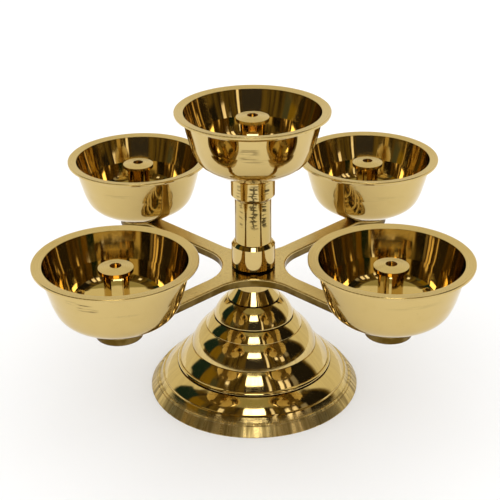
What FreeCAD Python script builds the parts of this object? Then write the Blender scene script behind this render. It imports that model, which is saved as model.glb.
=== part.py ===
import FreeCAD, Part
import math
import os
import re
import Sketcher
from FreeCAD import Rotation, Vector

# Brass standing oil lamp: a hollow turned foot, a flat cast cross with four oil cups,
# a short column through its middle and a fifth cup on top.  Millimetres, +Z up, with the
# origin at the middle of the foot's underside.

DRIVING_DIMENSIONS = {
    # foot: outer radii and heights of the turned tiers, from the floor up
    "foot_radius": 53.8, "foot_edge": 0.4,
    "band_radius": 50.9, "band_top": 4.4, "ledge": 0.4,
    "ring_radius": 49.7, "ring_top": 5.5, "ring_curve": 0.9,
    "shoulder_radius": 47.7, "shoulder_top": 7.9, "rib_radius": 47.1, "rib_top": 8.4,
    "tier_one_radius": 40.3, "tier_one_top": 14.4, "tier_one_curve": 20.0,
    "bead_radius": 39.7, "bead_top": 16.3, "bead_curve": 1.5, "riser": 0.4,
    "tier_two_foot": 38.1, "tier_two_radius": 32.3, "tier_two_top": 23.8, "tier_two_curve": 34.0,
    "tier_three_foot": 31.9, "tier_three_radius": 24.8, "tier_three_top": 34.9, "tier_three_curve": 19.0,
    "tier_four_foot": 24.5, "tier_four_radius": 20.6, "tier_four_top": 40.0, "tier_four_curve": 20.0,
    "tier_five_foot": 20.2, "tier_five_radius": 13.7, "tier_five_top": 50.0, "tier_five_curve": 20.0,
    "groove_depth": 0.6, "groove_width": 0.7,
    "neck_foot": 13.1, "neck_radius": 8.8, "neck_bend_top": 56.4, "neck_curve": 60.0,
    "shell_wall": 3.0, "ceiling_height": 43.0, "ceiling_radius": 11.4, "ceiling_curve": 7.0,
    # cross
    "cross_bottom": 63.2, "cross_thickness": 4.4, "arm_reach": 87.2, "arm_width": 9.0,
    "pad_radius": 11.0, "crotch_curve": 23.0, "pad_neck_curve": 5.0, "cross_edge_curve": 0.7,
    # tie rod, nut and washer
    "rod_radius": 4.0, "rod_bottom": 33.0, "rod_top": 82.0, "rod_bevel": 0.6, "running_gap": 0.05,
    "nut_across_flats": 13.0, "nut_thickness": 6.5,
    "washer_radius": 9.0, "washer_thickness": 1.6,
    # column
    "collar_radius": 10.9, "stem_radius": 9.1, "stem_bore_radius": 6.5,
    "lower_collar_top": 81.6, "upper_collar_bottom": 104.9, "column_top": 116.1,
    "socket_depth": 6.0, "lower_bevel": 1.6, "lower_bevel_width": 1.25, "upper_bevel": 2.1,
    "bevel_land": 0.1, "foot_bevel": 1.1, "foot_bevel_width": 0.8, "contact_bevel": 0.35,
    # cup: each drop is measured down from the plane of the lip
    "cup_height": 33.8, "lip_radius": 37.5, "lip_edge": 1.2, "lip_bevel": 0.3,
    "wide_lip": 4.7, "narrow_lip": 4.4, "lip_fall": 0.6,
    "throat_radius": 33.3, "throat_drop": 3.6, "throat_curve": 5.0,
    "side_radius": 31.0, "side_drop": 13.5, "side_curve": 80.0,
    "belly_high_radius": 28.6, "belly_high_drop": 21.0, "belly_high_curve": 45.0,
    "belly_low_radius": 23.5, "belly_low_drop": 27.0, "belly_low_curve": 12.0,
    "cup_foot_radius": 10.4, "cup_foot_curve": 60.0,
    "cup_wall": 2.0, "cup_floor": 3.4, "floor_flat_radius": 9.5,
    # wick holder and its seal
    "post_radius": 5.8, "post_bore_radius": 3.3, "post_slot_width": 5.5, "post_foot_height": 3.0,
    "head_radius": 8.0, "head_thickness": 1.7, "head_drop": 2.65, "head_crown": 0.85,
    "wick_hole_radius": 2.65, "spigot_radius": 3.0, "spigot_length": 4.0,
    "seal_radius": 6.6, "seal_thickness": 0.8,
}
# Each arm cup's place: the direction of its arm and the way its wick slot faces, in degrees,
# and the width of its lip.
ARM_CUPS = {
    "front_left": (225.0, 101.0, "wide_lip"),
    "front_right": (315.0, 60.0, "wide_lip"),
    "back_left": (135.0, 150.0, "narrow_lip"),
    "back_right": (45.0, 55.0, "narrow_lip"),
}
TOP_SLOT_DIRECTION = 90.0
FIRST_ARM_DIRECTION = 45.0
ARM_COUNT = 4
FULL_TURN = 360.0
TOLERANCE = 0.001
START, END, CENTRE = 1, 2, 3
ORIGIN_POINT = (-1, 1)
LEVEL_AXIS, UPRIGHT_AXIS = -1, -2
ROUND, HOLLOW = 1, -1
PARTS_FOLDER = "parts"
AXIS_Z = Vector(0, 0, 1)

doc = FreeCAD.newDocument("OilLamp")
sheet = doc.addObject("Spreadsheet::Sheet", "Dimensions")
for row, (alias, size) in enumerate(DRIVING_DIMENSIONS.items(), start=1):
    sheet.set("A%d" % row, alias)
    sheet.set("B%d" % row, str(size))
    sheet.setAlias("B%d" % row, alias)
doc.recompute()
sub_parts = []


def bound(text):
    """The expression with the sheet's name put before each of its aliases."""
    def full_name(word):
        name = word.group(0)
        return "Dimensions." + name if name in DRIVING_DIMENSIONS else name
    return re.sub(r"[a-z_]+", full_name, text)


def value_of(text):
    """Present value of an expression on the sheet's aliases."""
    return float(sheet.evalExpression(text))


# ---------------------------------------------------------------- sketch and body helpers

def new_body(name):
    """An empty body that is exported under its own name."""
    body = doc.addObject("PartDesign::Body", name)
    body.Label = name
    sub_parts.append(body)
    return body


def new_sketch(body, purpose, plane, offset="0"):
    """A sketch on one of the body's own origin planes, moved along the plane's normal."""
    sketch = body.newObject("Sketcher::SketchObject", body.Name + "_" + purpose)
    origin_plane = next(f for f in body.Origin.OriginFeatures if f.Role == plane)
    sketch.AttachmentSupport = [(origin_plane, "")]
    sketch.MapMode = "FlatFace"
    sketch.setExpression(".AttachmentOffset.Base.z", bound(offset))
    return sketch


def drive(sketch, kind, places, text):
    """Add a dimension to a sketch and tie it to an expression on the sheet."""
    index = sketch.addConstraint(Sketcher.Constraint(kind, *places, value_of(text)))
    sketch.setExpression("Constraints[%d]" % index, bound(text))


def place_point(sketch, point, across, up):
    """Fix a point of a sketch at two driven distances from the sketch's origin."""
    if value_of(across) == 0:
        sketch.addConstraint(Sketcher.Constraint("PointOnObject", *point, UPRIGHT_AXIS))
    else:
        drive(sketch, "DistanceX", ORIGIN_POINT + point, across)
    if value_of(up) == 0:
        sketch.addConstraint(Sketcher.Constraint("PointOnObject", *point, LEVEL_AXIS))
    else:
        drive(sketch, "DistanceY", ORIGIN_POINT + point, up)


def arc_between(start, stop, radius, bulge):
    """Circular arc from start to stop, with the material on the left of the way along it."""
    along = stop - start
    half_chord = along.Length / 2
    left = Vector(-along.y, along.x, 0).normalize()
    centre = (start + stop) * 0.5 + left * (bulge * math.sqrt(radius ** 2 - half_chord ** 2))
    first, last = (start, stop) if bulge == ROUND else (stop, start)
    turn = [math.atan2(p.y - centre.y, p.x - centre.x) for p in (first, last)]
    if turn[1] < turn[0]:
        turn[1] += 2 * math.pi
    return Part.ArcOfCircle(Part.Circle(centre, AXIS_Z, radius), *turn)


def draw_outline(sketch, corners):
    """Draw a closed outline, anticlockwise round the material.

    A corner is (across, up) when a straight edge arrives at it, and (across, up, radius,
    ROUND or HOLLOW) when an arc does.  All sizes are expressions on the sheet's aliases.
    """
    points = [Vector(value_of(corner[0]), value_of(corner[1]), 0) for corner in corners]
    edges = []
    for index, corner in enumerate(corners):
        start, stop = points[index - 1], points[index]
        if len(corner) == 2:
            edge = sketch.addGeometry(Part.LineSegment(start, stop), False)
            edges.append(((edge, START), (edge, END)))
            continue
        radius, bulge = corner[2:]
        edge = sketch.addGeometry(arc_between(start, stop, value_of(radius), bulge), False)
        ends = (START, END) if bulge == ROUND else (END, START)
        edges.append(((edge, ends[0]), (edge, ends[1])))
    for index, corner in enumerate(corners):
        next_start = edges[(index + 1) % len(edges)][0]
        sketch.addConstraint(Sketcher.Constraint("Coincident", *edges[index][1], *next_start))
        place_point(sketch, edges[index][1], corner[0], corner[1])
        if len(corner) > 2:
            drive(sketch, "Radius", (edges[index][0][0],), corner[2])


def turned(name, corners):
    """A body turned about Z from an outline of (radius, height) corners."""
    body = new_body(name)
    sketch = new_sketch(body, "profile", "XZ_Plane")
    draw_outline(sketch, corners)
    revolution = body.newObject("PartDesign::Revolution", name + "_turned")
    revolution.Profile = sketch
    revolution.ReferenceAxis = (sketch, ["V_Axis"])
    revolution.Angle = FULL_TURN
    body.Tip = revolution
    doc.recompute()
    return body


def ring(name, outer, inner, bottom, thickness):
    """A flat ring: outer and inner radius, height of its underside and thickness."""
    top = "%s + %s" % (bottom, thickness)
    return turned(name, [(inner, bottom), (outer, bottom), (outer, top), (inner, top)])


def through_holes(body, purpose, circles, offset, depth):
    """Drill round holes down Z from a level; circles are (distance along X, radius) pairs."""
    sketch = new_sketch(body, purpose, "XY_Plane", offset)
    for across, radius in circles:
        centre = Vector(value_of(across), 0, 0)
        circle = sketch.addGeometry(Part.Circle(centre, AXIS_Z, value_of(radius)), False)
        place_point(sketch, (circle, CENTRE), across, "0")
        drive(sketch, "Radius", (circle,), radius)
    pocket = body.newObject("PartDesign::Pocket", body.Name + "_" + purpose + "_cut")
    pocket.Profile = sketch
    pocket.setExpression("Length", bound(depth))
    body.Tip = pocket
    doc.recompute()
    return pocket


def four_times(body, features, purpose):
    """Repeat features round Z, once for each arm of the cross."""
    pattern = body.newObject("PartDesign::PolarPattern", body.Name + "_" + purpose)
    pattern.Originals = features
    z_axis = next(f for f in body.Origin.OriginFeatures if f.Role == "Z_Axis")
    pattern.Axis = (z_axis, [""])
    pattern.Angle = FULL_TURN
    pattern.Occurrences = ARM_COUNT
    body.Tip = pattern
    doc.recompute()
    return pattern


def round_edges(body, base, purpose, radius, wanted):
    """Fillet every edge of the base feature that the test picks out."""
    names = []
    for index, edge in enumerate(base.Shape.Edges, start=1):
        if wanted(edge):
            names.append("Edge%d" % index)
    fillet = body.newObject("PartDesign::Fillet", body.Name + "_" + purpose)
    fillet.Base = (base, names)
    fillet.setExpression("Radius", bound(radius))
    body.Tip = fillet
    doc.recompute()
    return fillet


# ---------------------------------------------------------------- foot, tie rod and fasteners

ROD_HOLE = "rod_radius + running_gap"
SPIGOT_HOLE = "spigot_radius + running_gap"
CROSS_TOP = "cross_bottom + cross_thickness"


def grooved_step(foot, level):
    """Corners of the fine groove at a level, from the tier below to the tier above it."""
    bottom_of_groove = "%s - groove_depth" % foot
    upper = "%s + groove_width" % level
    return [(bottom_of_groove, level), (bottom_of_groove, upper), (foot, upper)]


def make_foot():
    """Hollow foot: flared band with fine ribs, five rounded tiers with grooves between, and a neck."""
    outside = [
        ("foot_radius", "0"),
        ("foot_radius", "foot_edge"),
        ("band_radius", "band_top"),
        ("band_radius - ledge", "band_top"),
        ("ring_radius", "ring_top", "ring_curve", ROUND),
        ("ring_radius - ledge", "ring_top"),
        ("shoulder_radius", "shoulder_top"),
        ("shoulder_radius - ledge", "shoulder_top"),
        ("rib_radius", "rib_top"),
        ("rib_radius - ledge", "rib_top"),
        ("tier_one_radius", "tier_one_top", "tier_one_curve", ROUND),
        ("bead_radius - groove_depth", "tier_one_top"),
        ("bead_radius - groove_depth", "tier_one_top + groove_width"),
        ("bead_radius", "tier_one_top + groove_width"),
        ("tier_two_foot", "bead_top", "bead_curve", ROUND),
        ("tier_two_radius", "tier_two_top", "tier_two_curve", ROUND),
        ("tier_three_foot", "tier_two_top"),
        ("tier_three_foot", "tier_two_top + riser"),
        ("tier_three_radius", "tier_three_top", "tier_three_curve", ROUND),
        ("tier_four_foot", "tier_three_top"),
        ("tier_four_foot", "tier_three_top + riser"),
        ("tier_four_radius", "tier_four_top", "tier_four_curve", ROUND),
        *grooved_step("tier_five_foot", "tier_four_top"),
        ("tier_five_foot", "tier_four_top + groove_width + riser"),
        ("tier_five_radius", "tier_five_top", "tier_five_curve", ROUND),
        *grooved_step("neck_foot", "tier_five_top"),
        ("neck_radius", "neck_bend_top", "neck_curve", HOLLOW),
        ("neck_radius", "cross_bottom"),
    ]
    inside = [
        (ROD_HOLE, "cross_bottom"),
        (ROD_HOLE, "ceiling_height"),
        ("ceiling_radius", "ceiling_height"),
        ("tier_four_radius - 1.25 * shell_wall", "tier_four_top - 0.6 * shell_wall",
         "ceiling_curve", HOLLOW),
        ("tier_two_radius - 1.35 * shell_wall", "tier_two_top - 0.7 * shell_wall",
         "tier_three_curve", HOLLOW),
        ("tier_one_radius - 1.4 * shell_wall", "tier_one_top - shell_wall"),
        ("shoulder_radius - 1.2 * shell_wall", "shoulder_top - 0.8 * shell_wall"),
        ("foot_radius - 1.3 * shell_wall", "0"),
    ]
    turned("base_dome", outside + inside)


def make_tie_rod():
    """Rod that ties the foot, the cross and the column together."""
    turned("tie_rod", [
        ("0", "rod_bottom"),
        ("rod_radius - rod_bevel", "rod_bottom"),
        ("rod_radius", "rod_bottom + rod_bevel"),
        ("rod_radius", "rod_top - rod_bevel"),
        ("rod_radius - rod_bevel", "rod_top"),
        ("0", "rod_top"),
    ])


def make_base_nut():
    """Hexagon nut under the washer, inside the foot."""
    hexagon = doc.addObject("Part::Prism", "nut_hexagon")
    hexagon.Polygon = 6
    hexagon.setExpression("Circumradius", bound("nut_across_flats / sqrt(3)"))
    hole = doc.addObject("Part::Cylinder", "nut_hole")
    hole.setExpression("Radius", bound(ROD_HOLE))
    for piece in (hexagon, hole):
        piece.setExpression("Height", bound("nut_thickness"))
        piece.setExpression("Placement.Base.z",
                            bound("ceiling_height - washer_thickness - nut_thickness"))
    nut = doc.addObject("Part::Cut", "base_nut")
    nut.Base = hexagon
    nut.Tool = hole
    nut.Label = "base_nut"
    sub_parts.append(nut)


# ---------------------------------------------------------------- cross

def make_cross():
    """Flat cross: four straight arms with deep round crotches, each ending in a round pad."""
    body = new_body("arm_spider")
    body.Placement = FreeCAD.Placement(Vector(), Rotation(AXIS_Z, FIRST_ARM_DIRECTION))
    arm_outline = new_sketch(body, "arm_outline", "XY_Plane", "cross_bottom")
    draw_outline(arm_outline, [
        ("0", "-arm_width / 2"),
        ("arm_reach", "-arm_width / 2"),
        ("arm_reach", "arm_width / 2"),
        ("0", "arm_width / 2"),
    ])
    pad_outline = new_sketch(body, "pad_outline", "XY_Plane", "cross_bottom")
    pad_centre = Vector(value_of("arm_reach"), 0, 0)
    pad_rim = Part.Circle(pad_centre, AXIS_Z, value_of("pad_radius"))
    pad_circle = pad_outline.addGeometry(pad_rim, False)
    place_point(pad_outline, (pad_circle, CENTRE), "arm_reach", "0")
    drive(pad_outline, "Radius", (pad_circle,), "pad_radius")
    plates = []
    for outline in (arm_outline, pad_outline):
        plate = body.newObject("PartDesign::Pad", outline.Name + "_plate")
        plate.Profile = outline
        plate.setExpression("Length", bound("cross_thickness"))
        plates.append(plate)
    body.Tip = plates[-1]
    doc.recompute()
    cross = four_times(body, plates, "arms")

    arm_half = value_of("arm_width / 2")
    crotch_distance = arm_half * math.sqrt(2)
    pad_start = value_of("arm_reach") - math.sqrt(value_of("pad_radius") ** 2 - arm_half ** 2)
    pad_neck_distance = math.hypot(arm_half, pad_start)

    def upright(edge):
        return edge.Vertexes[0].Point.sub(edge.Vertexes[-1].Point).cross(AXIS_Z).Length < TOLERANCE

    def upright_at(distance):
        def wanted(edge):
            off_axis = math.hypot(edge.CenterOfMass.x, edge.CenterOfMass.y)
            return upright(edge) and abs(off_axis - distance) < TOLERANCE
        return wanted

    def long_and_level(edge):
        return not upright(edge) and edge.Length > 1

    crotches = round_edges(body, cross, "crotches", "crotch_curve", upright_at(crotch_distance))
    pad_necks = round_edges(body, crotches, "pad_necks", "pad_neck_curve",
                            upright_at(pad_neck_distance))
    round_edges(body, pad_necks, "rims", "cross_edge_curve", long_and_level)
    through_holes(body, "centre_hole", [("0", ROD_HOLE)], CROSS_TOP, "2 * cross_thickness")
    pad_hole = through_holes(body, "pad_hole", [("arm_reach", SPIGOT_HOLE)], CROSS_TOP,
                             "2 * cross_thickness")
    four_times(body, [pad_hole], "pad_holes")


# ---------------------------------------------------------------- column

def make_column():
    """Stem tube with a thick collar at each end; the collars hold it in deep sockets."""
    turned("lower_collar", [
        (ROD_HOLE, CROSS_TOP),
        ("collar_radius - foot_bevel_width", CROSS_TOP),
        ("collar_radius", CROSS_TOP + " + foot_bevel"),
        ("collar_radius", "lower_collar_top - lower_bevel"),
        ("collar_radius - lower_bevel_width", "lower_collar_top"),
        ("stem_radius", "lower_collar_top"),
        ("stem_radius", "lower_collar_top - socket_depth"),
        (ROD_HOLE, "lower_collar_top - socket_depth"),
    ])
    turned("stem_tube", [
        ("stem_bore_radius", "lower_collar_top - socket_depth"),
        ("stem_radius", "lower_collar_top - socket_depth"),
        ("stem_radius", "upper_collar_bottom + socket_depth"),
        ("stem_bore_radius", "upper_collar_bottom + socket_depth"),
    ])
    turned("upper_collar", [
        ("stem_radius", "upper_collar_bottom"),
        ("stem_radius + bevel_land", "upper_collar_bottom"),
        ("collar_radius", "upper_collar_bottom + upper_bevel"),
        ("collar_radius", "column_top - contact_bevel"),
        ("collar_radius - contact_bevel", "column_top"),
        (SPIGOT_HOLE, "column_top"),
        (SPIGOT_HOLE, "upper_collar_bottom + socket_depth"),
        ("stem_radius", "upper_collar_bottom + socket_depth"),
    ])


# ---------------------------------------------------------------- cups and wick holders

def make_cup(place, lip_width):
    """Deep round cup with a flat overhanging lip; its origin is the middle of its underside."""
    def below_lip(drop):
        return "cup_height - " + drop
    return turned("cup_" + place, [
        (SPIGOT_HOLE, "0"),
        ("cup_foot_radius", "0"),
        ("belly_low_radius", below_lip("belly_low_drop"), "cup_foot_curve", ROUND),
        ("belly_high_radius", below_lip("belly_high_drop"), "belly_low_curve", ROUND),
        ("side_radius", below_lip("side_drop"), "belly_high_curve", ROUND),
        ("throat_radius", below_lip("throat_drop"), "side_curve", ROUND),
        ("lip_radius", below_lip("lip_edge"), "throat_curve", HOLLOW),
        ("lip_radius", below_lip("lip_bevel")),
        ("lip_radius - lip_bevel", "cup_height"),
        ("lip_radius - " + lip_width, below_lip("lip_fall")),
        ("side_radius - cup_wall", below_lip("side_drop"), "side_curve - cup_wall", HOLLOW),
        ("belly_high_radius - 0.9 * cup_wall", below_lip("belly_high_drop + 0.43 * cup_wall"),
         "belly_high_curve - cup_wall", HOLLOW),
        ("belly_low_radius - 0.6 * cup_wall", below_lip("belly_low_drop + 0.8 * cup_wall"),
         "belly_low_curve - cup_wall", HOLLOW),
        ("floor_flat_radius", "cup_floor", "cup_foot_curve - cup_wall", HOLLOW),
        (SPIGOT_HOLE, "cup_floor"),
    ])


def make_wick_holder(place):
    """Slotted post with a low conical head, pierced; its origin is the spigot's lower end."""
    seat = "spigot_length + cup_floor + seal_thickness"
    bore_floor = seat + " + post_foot_height"
    head_top = "spigot_length + cup_height - head_drop"
    head_edge = head_top + " - head_crown"
    head_under = head_edge + " - head_thickness"
    name = "wick_holder_" + place
    body = turned(name, [
        ("0", "0"),
        ("spigot_radius", "0"),
        ("spigot_radius", seat),
        ("post_radius", seat),
        ("post_radius", head_under),
        ("head_radius", head_under),
        ("head_radius", head_edge),
        ("wick_hole_radius", head_top),
        ("wick_hole_radius", head_under),
        ("post_bore_radius", head_under),
        ("post_bore_radius", bore_floor),
        ("0", bore_floor),
    ])
    slot = new_sketch(body, "slot", "XZ_Plane")
    draw_outline(slot, [
        ("-post_slot_width / 2", bore_floor),
        ("post_slot_width / 2", bore_floor),
        ("post_slot_width / 2", head_under),
        ("-post_slot_width / 2", head_under),
    ])
    cut = body.newObject("PartDesign::Pocket", name + "_slot_cut")
    cut.Profile = slot
    cut.Midplane = True
    cut.setExpression("Length", bound("4 * post_radius"))
    body.Tip = cut
    doc.recompute()
    return body


def make_seal(place):
    """Thin ring between the cup's floor and the foot of the wick holder."""
    return ring("seal_washer_" + place, "seal_radius", SPIGOT_HOLE, "cup_floor", "seal_thickness")


def put(body, reach, direction, height, turn=0.0):
    """Place a body at a driven distance from the lamp's axis, at a driven height."""
    body.Placement = FreeCAD.Placement(Vector(), Rotation(AXIS_Z, turn))
    body.setExpression(".Placement.Base.x", bound("%s * cos(%.1f)" % (reach, direction)))
    body.setExpression(".Placement.Base.y", bound("%s * sin(%.1f)" % (reach, direction)))
    body.setExpression(".Placement.Base.z", bound(height))


def make_cup_set(place, reach, direction, seat, slot_direction, lip_width):
    """One cup with its wick holder and seal, standing on a seat at a given height."""
    put(make_cup(place, lip_width), reach, direction, seat)
    put(make_seal(place), reach, direction, seat)
    put(make_wick_holder(place), reach, direction, seat + " - spigot_length", slot_direction - 90)


make_foot()
ring("base_washer", "washer_radius", ROD_HOLE, "ceiling_height - washer_thickness", "washer_thickness")
make_base_nut()
make_tie_rod()
make_cross()
make_column()
make_cup_set("top", "0", 0.0, "column_top", TOP_SLOT_DIRECTION, "narrow_lip")
for place, (direction, slot_direction, lip_width) in ARM_CUPS.items():
    make_cup_set(place, "arm_reach", direction, CROSS_TOP, slot_direction, lip_width)
doc.recompute()

for thing in doc.Objects:
    for word in ("Invalid", "Error"):
        if word in thing.State:
            raise RuntimeError("%s is %s" % (thing.Name, word))
for piece in sub_parts:
    if piece.Shape.isNull() or not piece.Shape.isValid():
        raise RuntimeError("%s has no valid shape" % piece.Label)

os.makedirs(PARTS_FOLDER, exist_ok=True)
for piece in sub_parts:
    piece.Shape.exportStep(os.path.join(PARTS_FOLDER, piece.Label + ".step"))
    box = piece.Shape.BoundBox
    print("%-26s solids %d volume %9.1f  z %.2f..%.2f" %
          (piece.Label, len(piece.Shape.Solids), piece.Shape.Volume, box.ZMin, box.ZMax))
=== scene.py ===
import bpy
import math
from mathutils import Matrix, Vector


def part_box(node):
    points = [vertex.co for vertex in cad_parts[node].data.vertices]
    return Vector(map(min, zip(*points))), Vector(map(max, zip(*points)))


# The brass lamp's finishes, its studio and its camera.  Metres, but the brass works in
# millimetres from each piece's own axis and underside.

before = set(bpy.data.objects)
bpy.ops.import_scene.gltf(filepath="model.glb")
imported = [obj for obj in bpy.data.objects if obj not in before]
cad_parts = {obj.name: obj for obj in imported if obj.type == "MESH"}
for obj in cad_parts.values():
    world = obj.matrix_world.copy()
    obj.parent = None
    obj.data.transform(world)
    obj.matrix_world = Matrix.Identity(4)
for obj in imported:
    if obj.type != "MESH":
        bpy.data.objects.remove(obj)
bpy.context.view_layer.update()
scene = bpy.context.scene

MM = 0.001          # in metres
MICRON = 0.001      # in millimetres
HUNDREDTH = 0.01    # in millimetres
DEGREE = 180 / math.pi

BRASS = (0.605, 0.447, 0.175)
# A darker copy of the brass, used on the column tube as painted shade.
SHADED_BRASS = (0.54, 0.39, 0.135)
RED_BRASS = (0.53, 0.37, 0.125)
DULL_BRASS = (0.60, 0.43, 0.19)
# Dark brown: real tarnish in the pits and old polish in the cup smudges, and also painted shade in
# the groove bands of the foot and lower collar and the painted reflection ticks on the column.
TARNISH_AND_PAINTED_SHADE = (0.045, 0.030, 0.010)
# Dark cast brown: real casting skin in grains on the cross, and painted shade on its sides and
# round the lower collar.
CAST_SKIN_AND_SHADE = (0.105, 0.060, 0.008)
# Dark bronze of the painted reflection streaks on the foot.
BRONZE = (0.15, 0.095, 0.022)
FIBRE_DARK = (0.13, 0.035, 0.02)
FIBRE_PALE = (0.30, 0.10, 0.06)
PLACES = ("top", "front_left", "front_right", "back_left", "back_right")


# ---------------------------------------------------------------- node graph helpers

class Graph:
    """A short way to write shader maths; every method but feed, node and split returns a socket."""

    def __init__(self, tree):
        self.tree = tree

    def feed(self, socket, value):
        """Link a socket into another one, or set the other one's plain value."""
        if isinstance(value, bpy.types.NodeSocket):
            self.tree.links.new(value, socket)
        else:
            socket.default_value = value

    def node(self, kind, inputs=None, **settings):
        made = self.tree.nodes.new(kind)
        for name, value in settings.items():
            setattr(made, name, value)
        for key, value in (inputs or {}).items():
            self.feed(made.inputs[key], value)
        return made

    def maths(self, operation, *values):
        made = self.node("ShaderNodeMath", operation=operation)
        for socket, value in zip(made.inputs, values):
            self.feed(socket, value)
        return made.outputs[0]

    def add(self, a, b):
        return self.maths("ADD", a, b)

    def times(self, a, b):
        return self.maths("MULTIPLY", a, b)

    def larger(self, a, b):
        return self.maths("MAXIMUM", a, b)

    def ramp(self, value, low, high, from_value=0.0, to_value=1.0):
        """Smooth change from one value to another as the input goes from low to high."""
        inputs = {"Value": value, "From Min": low, "From Max": high,
                  "To Min": from_value, "To Max": to_value}
        return self.node("ShaderNodeMapRange", inputs, interpolation_type="SMOOTHSTEP").outputs[0]

    def band(self, value, low, high, soft):
        """1 between two levels and 0 outside them, with soft edges."""
        rising = self.ramp(value, low - soft, low + soft)
        falling = self.ramp(value, high - soft, high + soft, 1.0, 0.0)
        return self.times(rising, falling)

    def patch(self, value, middle, half, soft):
        """1 within half of a middle value and 0 further out, with soft edges."""
        return self.band(value, middle - half, middle + half, soft)

    def bearing(self, x, y):
        """Degrees from the front (-y), positive to the right."""
        return self.times(self.maths("ARCTAN2", x, self.times(y, -1.0)), DEGREE)

    def noise(self, vector, scale, detail=3.0, rough=0.5):
        """Noise from 0 to 1, scale in cycles per unit of the vector."""
        inputs = {"Vector": vector, "Scale": scale, "Detail": detail, "Roughness": rough}
        return self.node("ShaderNodeTexNoise", inputs).outputs["Fac"]

    def flat_noise(self, across, up, detail):
        """Noise over two coordinates that are already in cycles."""
        return self.noise(self.join(across, up, 0.0), 1.0, detail)

    def line_noise(self, distance, scale, detail):
        """Noise that changes along one distance only."""
        inputs = {"W": distance, "Scale": scale, "Detail": detail}
        return self.node("ShaderNodeTexNoise", inputs, noise_dimensions="1D").outputs["Fac"]

    def mix(self, share, first, second):
        """A colour between two colours, each a socket or a tuple."""
        made = self.node("ShaderNodeMix", data_type="RGBA")
        self.feed(made.inputs[0], share)
        for socket, colour in ((made.inputs[6], first), (made.inputs[7], second)):
            self.feed(socket, (*colour, 1) if isinstance(colour, tuple) else colour)
        return made.outputs[2]

    def bump(self, height):
        """The normal of a surface raised by a height in metres."""
        inputs = {"Height": height, "Strength": 1.0, "Distance": 1.0}
        return self.node("ShaderNodeBump", inputs).outputs[0]

    def join(self, x, y, z):
        return self.node("ShaderNodeCombineXYZ", {0: x, 1: y, 2: z}).outputs[0]

    def split(self, vector):
        return self.node("ShaderNodeSeparateXYZ", {0: vector}).outputs


def blank_material(name):
    material = bpy.data.materials.new(name)
    material.use_nodes = True
    tree = material.node_tree
    return material, Graph(tree), tree.nodes["Principled BSDF"]


def dress(node_name, material):
    """Give a CAD node its material."""
    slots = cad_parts[node_name].data.materials
    slots.clear()
    slots.append(material)


def height_of(node_name):
    """A CAD node's height in millimetres."""
    low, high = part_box(node_name)
    return (high[2] - low[2]) / MM


# ---------------------------------------------------------------- brass

# Noise scales are in cycles per millimetre.  A ramp is written as the input at its low and high
# end, and the output at its low and high end.
TURNED_GRAIN = 0.9
QUARTER_TURN = 0.25
CLOUD_SCALE = 0.09
CLOUD_RED = (0.45, 0.8, 0.0, 0.4)
CLOUD_ROUGHNESS = (0.5, 0.8, 0.0, 0.03)
SMEAR_SCALE = 0.6
SMEAR_ROUGHNESS = (0.35, 0.8, 0.0, 0.04)
PIT_SCALE = 0.9
PIT_TARNISH = (0.80, 0.84, 0.0, 0.7)
FINE_TURNING_SCALE = 5.5
SATIN_ROUGHNESS = (0.3, 0.7, 0.24, 0.34)
SATIN_RIDGE = 4.0 * MICRON
STAIN_AND_SHADE_ROUGHNESS = 0.2
BUFFING_SCALE = 0.11
# Soft edge of the painted shade in each groove band, in millimetres.
GROOVE_SHADE_EDGE = 0.08


def local_spot(graph, node_name):
    """The shaded point, measured from the middle of the underside of the piece's box.

    The point, radius and height are in millimetres, the bearing in degrees from the front.
    """
    low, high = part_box(node_name)
    underside = [(low[0] + high[0]) / 2, (low[1] + high[1]) / 2, low[2]]
    place = graph.node("ShaderNodeTexCoord").outputs["Object"]
    moved = graph.node("ShaderNodeVectorMath", {0: place, 1: underside}, operation="SUBTRACT")
    scaled = graph.node("ShaderNodeVectorMath", {0: moved.outputs[0], "Scale": 1 / MM},
                        operation="SCALE")
    point = scaled.outputs[0]
    x, y, height = graph.split(point)
    radius = graph.maths("SQRT", graph.add(graph.times(x, x), graph.times(y, y)))
    return {"point": point, "radius": radius, "height": height,
            "bearing": graph.bearing(x, y)}


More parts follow.
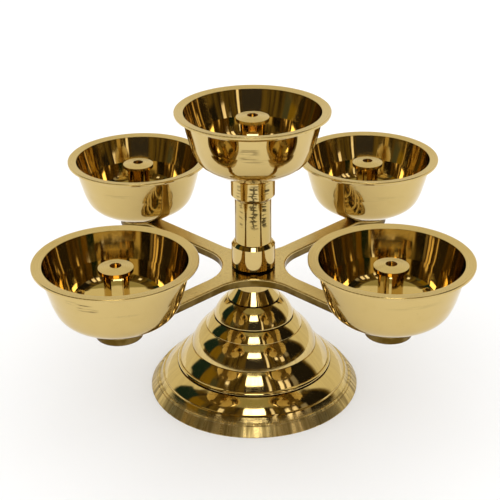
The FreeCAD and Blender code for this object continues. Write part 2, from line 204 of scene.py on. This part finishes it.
def brass(name, node_name, slope=1, satin=None, rings=0.25, ring_pitch=0.45, wave=1.0,
          rough=0.05, grain=TURNED_GRAIN, painted_groove_shade=(), marks=None, stains_and_painted_shade=None, colour=BRASS,
          stain_and_shade_colour=TARNISH_AND_PAINTED_SHADE):
    """Polished brass, turned unless grain is 0.

    slope is 1 where the piece widens upwards and -1 where it narrows.  rings is the height of
    the turning marks in micrometres, ring_pitch their width in millimetres, and wave the height
    of the buffing waves in hundredths of a millimetre.  rough is the roughness where the polish
    is best.  The groove levels, (low, high) pairs, are painted dark as shade.  satin, marks and the
    dark-colour argument are functions of (graph, spot) that give the share of brushed surface, an
    extra bump height in millimetres and the share of the dark colour: real stain on the cups, real
    casting skin and painted shade on the cross, and painted reflection on the foot and column.
    """
    material, graph, shader = blank_material(name)
    spot = local_spot(graph, node_name)
    along = graph.add(graph.times(spot["radius"], slope), spot["height"])
    satin_share = satin(graph, spot) if satin else 0.0
    # Share of the dark colour: real stain on the cups, real skin and painted shade on the cross,
    # painted reflection on the foot and column.
    stain_and_shade_share = stains_and_painted_shade(graph, spot) if stains_and_painted_shade else 0.0

    cloud = graph.noise(spot["point"], CLOUD_SCALE, 4.0, 0.6)
    smear = graph.noise(spot["point"], SMEAR_SCALE, 3.0)
    turning = graph.line_noise(along, 1 / ring_pitch, 2.0)
    fine_turning = graph.line_noise(along, FINE_TURNING_SCALE, 2.0)

    tint = graph.mix(graph.ramp(cloud, *CLOUD_RED), colour, RED_BRASS)
    pits = graph.ramp(graph.noise(spot["point"], PIT_SCALE, 1.0), *PIT_TARNISH)
    tint = graph.mix(pits, tint, TARNISH_AND_PAINTED_SHADE)
    # Painted shade: each groove band is mixed towards the dark colour.
    for low, high in painted_groove_shade:
        tint = graph.mix(graph.band(spot["height"], low, high, GROOVE_SHADE_EDGE), tint, TARNISH_AND_PAINTED_SHADE)
    # Mix in the dark colour: real stain in places, painted shade and painted reflection in others.
    tint = graph.mix(stain_and_shade_share, tint, stain_and_shade_colour)
    graph.feed(shader.inputs["Base Color"], tint)
    shader.inputs["Metallic"].default_value = 1.0
    shader.inputs["Anisotropic"].default_value = grain
    shader.inputs["Anisotropic Rotation"].default_value = QUARTER_TURN

    polish = graph.add(rough, graph.ramp(smear, *SMEAR_ROUGHNESS))
    polish = graph.add(polish, graph.ramp(cloud, *CLOUD_ROUGHNESS))
    brushed = graph.ramp(fine_turning, *SATIN_ROUGHNESS)
    bare = graph.node("ShaderNodeMix", {0: satin_share, 2: polish, 3: brushed}).outputs[0]
    roughness = graph.add(bare, graph.times(stain_and_shade_share, STAIN_AND_SHADE_ROUGHNESS))
    graph.feed(shader.inputs["Roughness"], roughness)

    depth = graph.times(turning, rings * MICRON)
    depth = graph.add(depth, graph.times(graph.times(fine_turning, satin_share), SATIN_RIDGE))
    buffing = graph.noise(spot["point"], BUFFING_SCALE, 1.0)
    depth = graph.add(depth, graph.times(buffing, wave * HUNDREDTH))
    if marks:
        depth = graph.add(depth, marks(graph, spot))
    graph.feed(shader.inputs["Normal"], graph.bump(graph.times(depth, MM)))
    return material


# Foot: mirror-polished tiers, and the flared band and the ribs above it left as turned.  Levels
# are in millimetres above the foot's underside.
BAND_TOP = 4.4
RIBS_TOP = 8.4
# Painted shade in the foot's three groove bands, (low, high) in millimetres.
FOOT_GROOVE_SHADE = ((14.45, 15.0), (40.05, 40.65), (50.05, 50.65))
BAND_SATIN = 0.9
RIB_MARK_SCALE = 1.9
RIB_MARK_DEPTH = 10 * MICRON
STREAK_CYCLES = (0.30, 0.04)    # per degree round the foot, per millimetre up it
STREAK_CONTRAST = (0.40, 0.62)
STREAK_SHARES = (0.65, 0.10)    # on the band, on the tiers


def foot_satin(graph, spot):
    return graph.ramp(spot["height"], BAND_TOP - 0.2, RIBS_TOP, BAND_SATIN, 0.0)


def foot_marks(graph, spot):
    """Coarse turning marks on the band and the ribs."""
    low_zone = graph.ramp(spot["height"], RIBS_TOP - 0.6, RIBS_TOP, 1.0, 0.0)
    ridges = graph.line_noise(spot["height"], RIB_MARK_SCALE, 1.0)
    return graph.times(graph.times(ridges, low_zone), RIB_MARK_DEPTH)


def foot_reflection_streaks(graph, spot):
    """Painted reflection: upright dark streaks on the band and ribs, and a few faint ones on the
    tiers' sides.
    """
    around = graph.times(spot["bearing"], STREAK_CYCLES[0])
    up = graph.times(spot["height"], STREAK_CYCLES[1])
    streaks = graph.ramp(graph.flat_noise(around, up, 3.0), *STREAK_CONTRAST)
    share = graph.ramp(spot["height"], BAND_TOP, RIBS_TOP + 0.4, *STREAK_SHARES)
    return graph.times(streaks, share)


dress("base_dome", brass("foot_brass", "base_dome", slope=-1, satin=foot_satin, rings=0.5,
                         wave=2.5, painted_groove_shade=FOOT_GROOVE_SHADE, marks=foot_marks, stains_and_painted_shade=foot_reflection_streaks,
                         stain_and_shade_colour=BRONZE))

# Cross: cast, its sides painted dark as shade, its top rubbed flat with a polished middle, and a
# few pin holes on the front left arm: (across and back from the lamp's axis, radius) in
# millimetres.
CROSS_TOP = 4.4
PIN_HOLES = ((-27.6, -29.2, 0.55), (-25.2, -28.1, 0.40), (-24.1, -27.2, 0.32))
PIN_HOLE_DEPTH = 0.3
PIN_HOLE_FLAT = 0.4             # share of the radius that is at full depth
POLISHED_MIDDLE = (13.0, 24.0, 0.1, 1.0)
CAST_WAVE_SCALE = 0.45
CAST_WAVE = 18 * MICRON
SIDE_SHADE_PATCHES = (0.35, 0.65, 0.85, 1.0)
SKIN_GRAIN = (0.45, 0.75, 0.0, 0.35)
# Painted shadow of the lower collar on the cross's top:
COLLAR_SHADOW_RING = (10.0, 10.9)      # radii of the dark ring under the lower collar's edge


def cross_satin(graph, spot):
    top = graph.ramp(spot["height"], CROSS_TOP - 0.5, CROSS_TOP - 0.1, 0.8, 1.0)
    return graph.times(top, graph.ramp(spot["radius"], *POLISHED_MIDDLE))


def cross_marks(graph, spot):
    """The cast surface's unevenness and the pin holes."""
    depth = graph.times(graph.noise(spot["point"], CAST_WAVE_SCALE, 3.0), CAST_WAVE)
    for across, back, size in PIN_HOLES:
        centre = graph.join(across, back, CROSS_TOP)
        gap = graph.node("ShaderNodeVectorMath", {0: spot["point"], 1: centre},
                         operation="DISTANCE").outputs["Value"]
        hole = graph.ramp(gap, size * PIN_HOLE_FLAT, size, -PIN_HOLE_DEPTH, 0.0)
        depth = graph.add(depth, hole)
    return depth


def cross_skin_and_shade(graph, spot):
    """Painted shade in patches on the sides, real casting skin in grains on the top, and a painted
    shadow ring round the collar.
    """
    # Painted shade: patches of the dark colour on the cross's sides, below its top.
    patchy = graph.ramp(graph.noise(spot["point"], 0.15, 3.0), *SIDE_SHADE_PATCHES)
    sides = graph.ramp(spot["height"], CROSS_TOP - 0.95, CROSS_TOP - 0.6, 1.0, 0.0)
    grains = graph.ramp(graph.noise(spot["point"], 0.7, 4.0, 0.7), *SKIN_GRAIN)
    # Painted shadow: a dark ring on the top under the lower collar's edge.
    collar_shadow = graph.band(spot["radius"], *COLLAR_SHADOW_RING, 0.15)
    return graph.larger(graph.larger(graph.times(sides, patchy), grains), collar_shadow)


dress("arm_spider", brass("cross_brass", "arm_spider", satin=cross_satin, rings=0.0, wave=1.0,
                          rough=0.08, grain=0.0, marks=cross_marks, stains_and_painted_shade=cross_skin_and_shade,
                          stain_and_shade_colour=CAST_SKIN_AND_SHADE))

# Column: turned with a chattering tool.  Painted reflection: short dark level ticks in three
# upright streaks with darker cores (middle and half width of the bearing in degrees, share, core's
# share).
REFLECTION_TICK_STREAKS = ((1, 13, 0.9, 0.95), (37, 10, 0.9, 0.25), (-40, 7, 0.5, 0.0))
TICK_WANDER = 5.0               # degrees to each side
TICK_CYCLES = (0.02, 0.78)      # per degree round the column, per millimetre up it
TICK_LEAN = 0.008               # cycles that a tick climbs per degree
TICK_CONTRAST = (0.47, 0.56)
CHATTER_CYCLES = (0.03, 1.1)
CHATTER_DEPTH = 6 * MICRON
# Levels in millimetres above each piece's underside.
STEM_REFLECTION_TICKS = (16, 40)
UPPER_COLLAR_REFLECTION_TICKS = (-4, 10)
# Painted shade at the lower collar's foot, where it sits on the cross.
COLLAR_FOOT_SHADE = (-1.0, 1.1)


# Painted reflection: dark level ticks gathered in upright streaks with solid dark cores, between
# two levels.
def reflection_ticks_between(low, high):
    def stains_and_painted_shade(graph, spot):
        wander = graph.ramp(graph.line_noise(spot["height"], 0.35, 2.0), 0.2, 0.8,
                            -TICK_WANDER, TICK_WANDER)
        bearing = graph.add(spot["bearing"], wander)
        level = graph.add(graph.times(spot["height"], TICK_CYCLES[1]),
                          graph.times(bearing, TICK_LEAN))
        ticks = graph.flat_noise(graph.times(bearing, TICK_CYCLES[0]), level, 1.0)
        ticks = graph.ramp(ticks, *TICK_CONTRAST)
        streaks = 0.0
        for middle, half, share, core in REFLECTION_TICK_STREAKS:
            edge = graph.patch(bearing, middle, half * 0.8, half * 0.3)
            streak = graph.times(graph.times(edge, ticks), share)
            heart = graph.times(graph.patch(bearing, middle, half * 0.2, half * 0.2), core)
            streaks = graph.add(streaks, graph.larger(streak, heart))
        return graph.times(streaks, graph.band(spot["height"], low, high, 1.5))
    return stains_and_painted_shade


def chatter(graph, spot):
    around = graph.times(spot["bearing"], CHATTER_CYCLES[0])
    ripple = graph.flat_noise(around, graph.times(spot["height"], CHATTER_CYCLES[1]), 1.0)
    return graph.times(ripple, CHATTER_DEPTH)


dress("lower_collar", brass("collar_brass_low", "lower_collar", rings=0.8, wave=1.5,
                            painted_groove_shade=(COLLAR_FOOT_SHADE,)))
# The column tube gets the darker brass as painted shade.
dress("stem_tube", brass("stem_brass", "stem_tube", rings=1.0, ring_pitch=0.8, wave=1.0,
                         marks=chatter, stains_and_painted_shade=reflection_ticks_between(*STEM_REFLECTION_TICKS), colour=SHADED_BRASS))
dress("upper_collar", brass("collar_brass_high", "upper_collar", rings=0.8, wave=1.5,
                            marks=chatter, stains_and_painted_shade=reflection_ticks_between(*UPPER_COLLAR_REFLECTION_TICKS)))

# Cups: mirror bright, with a finely brushed flat lip.  Wick holders: a turned satin head.
LIP_RADIUS = 37.5
LIP_WIDTH = {"top": 4.4, "front_left": 4.7, "front_right": 4.7, "back_left": 4.4,
             "back_right": 4.4}
WICK_HOLE = (2.6, 2.7)          # the head's satin starts at this radius
SMUDGE_CYCLES = (0.06, 1.4)     # per degree round the cup, per millimetre up it
SMUDGE_CONTRAST = (0.42, 0.6)
# Old polish rubbed into the outside: bearing and half width in degrees, height and half height
# in millimetres, share.
SMUDGES = {
    "top": ((-3, 7, 23, 3.2, 0.6), (2, 10, 19, 1.0, 0.4)),
    "front_left": ((-24, 9, 27.4, 0.8, 0.8), (-17, 7, 25.6, 1.1, 0.8), (8, 14, 22, 0.6, 0.2)),
    "front_right": ((12, 20, 26, 1.0, 0.12),),
    "back_left": ((-14, 12, 24, 1.0, 0.2),),
    "back_right": ((10, 16, 22, 1.2, 0.15),),
}


def lip_satin_for(place, cup_height):
    inner = LIP_RADIUS - LIP_WIDTH[place]

    def satin(graph, spot):
        on_lip = graph.ramp(spot["radius"], inner - 0.2, inner)
        near_top = graph.ramp(spot["height"], cup_height - 0.9, cup_height - 0.65)
        return graph.times(on_lip, near_top)
    return satin


def smudges_for(place):
    def stains_and_painted_shade(graph, spot):
        ragged = graph.join(graph.times(spot["bearing"], SMUDGE_CYCLES[0]),
                            graph.times(spot["height"], SMUDGE_CYCLES[1]), spot["radius"])
        rubbed = graph.ramp(graph.noise(ragged, 1.0, 3.0), *SMUDGE_CONTRAST)
        total = 0.0
        for middle, half, level, half_level, share in SMUDGES[place]:
            wide = graph.patch(spot["bearing"], middle, half, half * 0.5)
            tall = graph.patch(spot["height"], level, half_level, half_level * 0.5)
            total = graph.add(total, graph.times(graph.times(wide, tall), share))
        return graph.times(rubbed, total)
    return stains_and_painted_shade


def head_satin_for(holder_height):
    def satin(graph, spot):
        near_top = graph.ramp(spot["height"], holder_height - 1.1, holder_height - 0.9)
        return graph.times(near_top, graph.ramp(spot["radius"], *WICK_HOLE))
    return satin


for place in PLACES:
    cup, holder = "cup_" + place, "wick_holder_" + place
    dress(cup, brass(cup + "_brass", cup, satin=lip_satin_for(place, height_of(cup)), rings=0.35,
                     wave=2.5, stains_and_painted_shade=smudges_for(place)))
    dress(holder, brass(holder + "_brass", holder, satin=head_satin_for(height_of(holder)),
                        rings=1.0, wave=1.0))

# Fasteners: dull, as turned.
for part in ("base_washer", "base_nut", "tie_rod"):
    dress(part, brass(part + "_brass", part, rings=3.0, rough=0.28, wave=0.5, colour=DULL_BRASS))


# ---------------------------------------------------------------- pressed fibre seals

STRAND_SCALE = 2500.0           # cycles per metre
STRAND_HEIGHT = 0.05 * MM
BLOTCH_SCALE = 500.0
FIBRE_ROUGHNESS = (0.3, 0.7, 0.65, 0.85)


def fibre():
    material, graph, shader = blank_material("seal_fibre")
    place = graph.node("ShaderNodeTexCoord").outputs["Object"]
    strands = graph.noise(place, STRAND_SCALE, 4.0, 0.7)
    blotches = graph.noise(place, BLOTCH_SCALE, 2.0)
    colour = graph.mix(graph.ramp(strands, 0.35, 0.7), FIBRE_DARK, FIBRE_PALE)
    graph.feed(shader.inputs["Base Color"], colour)
    graph.feed(shader.inputs["Roughness"], graph.ramp(blotches, *FIBRE_ROUGHNESS))
    graph.feed(shader.inputs["Normal"], graph.bump(graph.times(strands, STRAND_HEIGHT)))
    return material


seal_material = fibre()
for place in PLACES:
    dress("seal_washer_" + place, seal_material)


# ---------------------------------------------------------------- studio

WHITE = (1.0, 1.0, 1.0)
SOFT_LIGHT = 1.2
WALL = (0.93, 0.885, 0.71)
ROOM_DARK = (0.035, 0.022, 0.006)
ROOM_OLIVE = (0.15, 0.10, 0.022)
ROOM_HALF_WIDTH = 105
ROOM_LOW, ROOM_HIGH = -3, 57
ROOM_EDGE = 3.0
FURNITURE_CYCLES = (0.11, 0.012)    # per degree of bearing, per degree of elevation
FURNITURE_CONTRAST = (0.36, 0.62)
# What the polished metal mirrors in front of and beside the lamp, each over the ones before it:
# (middle and half width of the bearing, lowest and highest elevation, all in degrees; colour;
# brightness; edge softness).
ROOM_PATCHES = {
    "ceiling": (0, 92, 56, 82, (0.42, 0.38, 0.20), 1.0, 4.0),
    "dark_middle": (1.5, 17, 4, 35, (0.040, 0.034, 0.030), 1.0, 1.5),
    "grey_left": (-65, 7, 5, 30, (0.08, 0.08, 0.045), 1.0, 2.5),
    "mustard_left": (-79, 9, 8, 38, (0.24, 0.15, 0.010), 1.0, 2.0),
    "teal_left": (-100, 12, 8, 43, (0.010, 0.030, 0.026), 1.0, 2.0),
    "dark_right": (84, 15, 8, 46, (0.014, 0.011, 0.007), 1.0, 2.0),
    "dim_window": (66, 4, 20, 34, (1.0, 0.9, 0.8), 0.35, 1.2),
    "tall_window": (54, 3, 12, 38, (1.0, 0.88, 0.78), 1.5, 0.8),
    "short_window": (44, 3, 22, 40, (1.0, 0.92, 0.85), 1.9, 0.8),
    "narrow_window": (25, 2, 5, 50, (1.0, 0.90, 0.78), 1.5, 0.8),
    "left_window": (-45, 3, 31, 40, (1.0, 0.92, 0.85), 1.6, 1.0),
    "soft_box": (0, 15, 37, 53, (1.0, 0.99, 0.95), 6.0, 0.6),
}


def studio_world():
    """Plain white light all round, in place of which mirrored rays see a furnished room."""
    world = bpy.data.worlds.new("studio")
    scene.world = world
    world.use_nodes = True
    tree = world.node_tree
    graph = Graph(tree)
    x, y, z = graph.split(graph.node("ShaderNodeTexCoord").outputs["Generated"])
    bearing = graph.bearing(x, y)
    rise = graph.times(graph.maths("ARCSINE", z), DEGREE)

    furniture = graph.flat_noise(graph.times(bearing, FURNITURE_CYCLES[0]),
                                 graph.times(rise, FURNITURE_CYCLES[1]), 3.0)
    room = graph.mix(graph.ramp(furniture, *FURNITURE_CONTRAST), ROOM_DARK, ROOM_OLIVE)
    in_room = graph.times(graph.patch(bearing, 0, ROOM_HALF_WIDTH, ROOM_EDGE),
                          graph.band(rise, ROOM_LOW, ROOM_HIGH, ROOM_EDGE))
    colour = graph.mix(in_room, WALL, room)
    for middle, half, low, high, tone, bright, soft in ROOM_PATCHES.values():
        inside = graph.times(graph.patch(bearing, middle, half, soft),
                             graph.band(rise, low, high, soft))
        colour = graph.mix(inside, colour, tuple(channel * bright for channel in tone))
    background = tree.nodes["Background"]
    graph.feed(background.inputs["Color"], colour)
    background.inputs["Strength"].default_value = 1.0
    plain = graph.node("ShaderNodeBackground", {"Color": (*WHITE, 1), "Strength": SOFT_LIGHT})
    mirrored = graph.node("ShaderNodeLightPath").outputs["Is Glossy Ray"]
    shown = graph.node("ShaderNodeMixShader", {0: mirrored, 1: plain.outputs[0],
                                               2: background.outputs[0]})
    tree.links.new(shown.outputs[0], tree.nodes["World Output"].inputs["Surface"])


studio_world()

FLOOR_HALF = 6.0
FLOOR_GREYS = ((0.93, 0.93, 0.93), (0.95, 0.95, 0.95))
FLOOR_CLOUD_SCALE = 3.0         # cycles per metre


def studio_floor():
    mesh = bpy.data.meshes.new("floor")
    corners = [(-FLOOR_HALF, -FLOOR_HALF, 0), (FLOOR_HALF, -FLOOR_HALF, 0),
               (FLOOR_HALF, FLOOR_HALF, 0), (-FLOOR_HALF, FLOOR_HALF, 0)]
    mesh.from_pydata(corners, [], [(0, 1, 2, 3)])
    floor = bpy.data.objects.new("floor", mesh)
    scene.collection.objects.link(floor)
    material, graph, shader = blank_material("floor_paper")
    place = graph.node("ShaderNodeTexCoord").outputs["Object"]
    tone = graph.ramp(graph.noise(place, FLOOR_CLOUD_SCALE, 2.0), 0.3, 0.7)
    graph.feed(shader.inputs["Base Color"], graph.mix(tone, *FLOOR_GREYS))
    shader.inputs["Roughness"].default_value = 0.8
    shader.inputs["Specular IOR Level"].default_value = 0.0
    mesh.materials.append(material)


studio_floor()


# ---------------------------------------------------------------- camera

CAMERA_HEIGHT = 0.3449
CAMERA_BACK = 0.5496
CAMERA_PITCH = math.radians(25.94)
CAMERA_YAW = math.radians(-0.19)
CAMERA_ROLL = math.radians(-0.455)
SENSOR = 36
FOCAL_RATIO = 2.4462            # focal length in sensor widths
SHIFT = (0.0006, -0.006)


def set_camera():
    data = bpy.data.cameras.new("camera")
    data.sensor_width = SENSOR
    data.lens = FOCAL_RATIO * SENSOR
    data.shift_x, data.shift_y = SHIFT
    camera = bpy.data.objects.new("camera", data)
    scene.collection.objects.link(camera)
    level_reach = math.cos(CAMERA_PITCH)
    forward = Vector((math.sin(CAMERA_YAW) * level_reach, math.cos(CAMERA_YAW) * level_reach,
                      -math.sin(CAMERA_PITCH)))
    level = Vector((math.cos(CAMERA_YAW), -math.sin(CAMERA_YAW), 0))
    above = level.cross(forward)
    right = level * math.cos(CAMERA_ROLL) + above * math.sin(CAMERA_ROLL)
    up = above * math.cos(CAMERA_ROLL) - level * math.sin(CAMERA_ROLL)
    turn = Matrix((right, up, -forward)).transposed().to_4x4()
    camera.matrix_world = Matrix.Translation((0, -CAMERA_BACK, CAMERA_HEIGHT)) @ turn
    scene.camera = camera


set_camera()
scene.view_settings.view_transform = "Standard"
